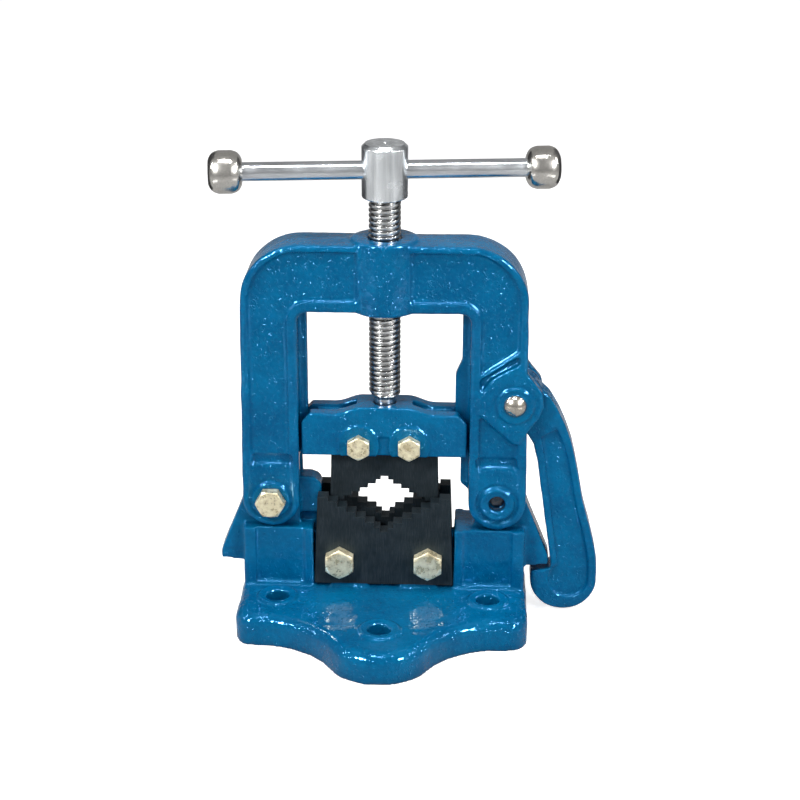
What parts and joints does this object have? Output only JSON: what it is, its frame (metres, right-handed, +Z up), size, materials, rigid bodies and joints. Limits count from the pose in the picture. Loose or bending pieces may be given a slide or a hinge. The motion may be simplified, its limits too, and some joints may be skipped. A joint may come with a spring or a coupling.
{
  "type": "pipe vise",
  "caption": "Hinged yoke pipe vise: a screw drives a toothed V jaw down onto a stepped lower jaw, with a hooked latch at one side and a bolt-down base.",
  "frame": {"origin": "on the underside of the base plate, on the axis of the clamp screw, where it meets the plane midway between the base's two faces of the uprights", "axes": "+X to the latch side, +Y to the back, +Z up along the clamp screw; the front, with the bolt heads, looks to -Y"},
  "size_m": [0.2335, 0.1304, 0.2965],
  "materials": {
    "blue_casting": "glossy enamel over a cast surface",
    "dark_jaw": "black oxide, satin",
    "yellow_zinc": "yellow zinc plated",
    "bright_steel": "turned",
    "nickel": "bright turned",
    "bright_rivet": "bright, domed"
  },
  "bodies": {
    "base": {"base": "blue_casting", "left_upright": "blue_casting", "right_upright": "blue_casting", "hinge_heel": "blue_casting", "lower_jaw_front": "dark_jaw", "lower_jaw_back": "dark_jaw", "lower_jaw_bolts": "yellow_zinc", "lower_jaw_nuts": "yellow_zinc", "hinge_bolt": "yellow_zinc", "hinge_washer": "yellow_zinc", "hinge_nut": "yellow_zinc"},
    "yoke": {"yoke": "blue_casting", "latch_pin": "bright_rivet", "latch_pin_washer": "yellow_zinc"},
    "latch": {"latch": "blue_casting"},
    "carrier": {"jaw_carrier": "blue_casting", "nose_pins": "bright_steel", "upper_jaw": "dark_jaw", "upper_jaw_bolts": "yellow_zinc", "upper_jaw_nuts": "yellow_zinc"},
    "screw": {"clamp_screw": "bright_steel", "screw_hub": "bright_steel", "hub_pin": "bright_steel"},
    "bar": {"handle_bar": "bright_steel", "bar_ball_left": "nickel", "bar_ball_right": "nickel"}
  },
  "joints": [
    {"name": "yoke_open", "type": "hinge", "parent": "base", "child": "yoke", "pos_m": [-0.069, 0, 0.0762], "axis": [0, -1, 0], "range_deg": [0, 90]},
    {"name": "latch_swing", "type": "hinge", "parent": "yoke", "child": "latch", "pos_m": [0.0783, 0, 0.1417], "axis": [0, -1, 0], "range_deg": [0, 88]},
    {"name": "carrier_slide", "type": "slide", "parent": "yoke", "child": "carrier", "axis": [0, 0, 1], "range_m": [-0.0165, 0.056]},
    {"name": "screw_turn", "type": "hinge", "parent": "carrier", "child": "screw", "pos_m": [0, 0, 0.2], "axis": [0, 0, 1], "range_deg": [-1856.25, 6300]},
    {"name": "bar_slide", "type": "slide", "parent": "screw", "child": "bar", "axis": [0.9945, 0.1045, 0], "range_m": [-0.0675, 0.0675]}
  ],
  "couplings": [
    {"joint": "carrier_slide", "follows": "screw_turn", "m_per_rad": 0.0005093}
  ]
}
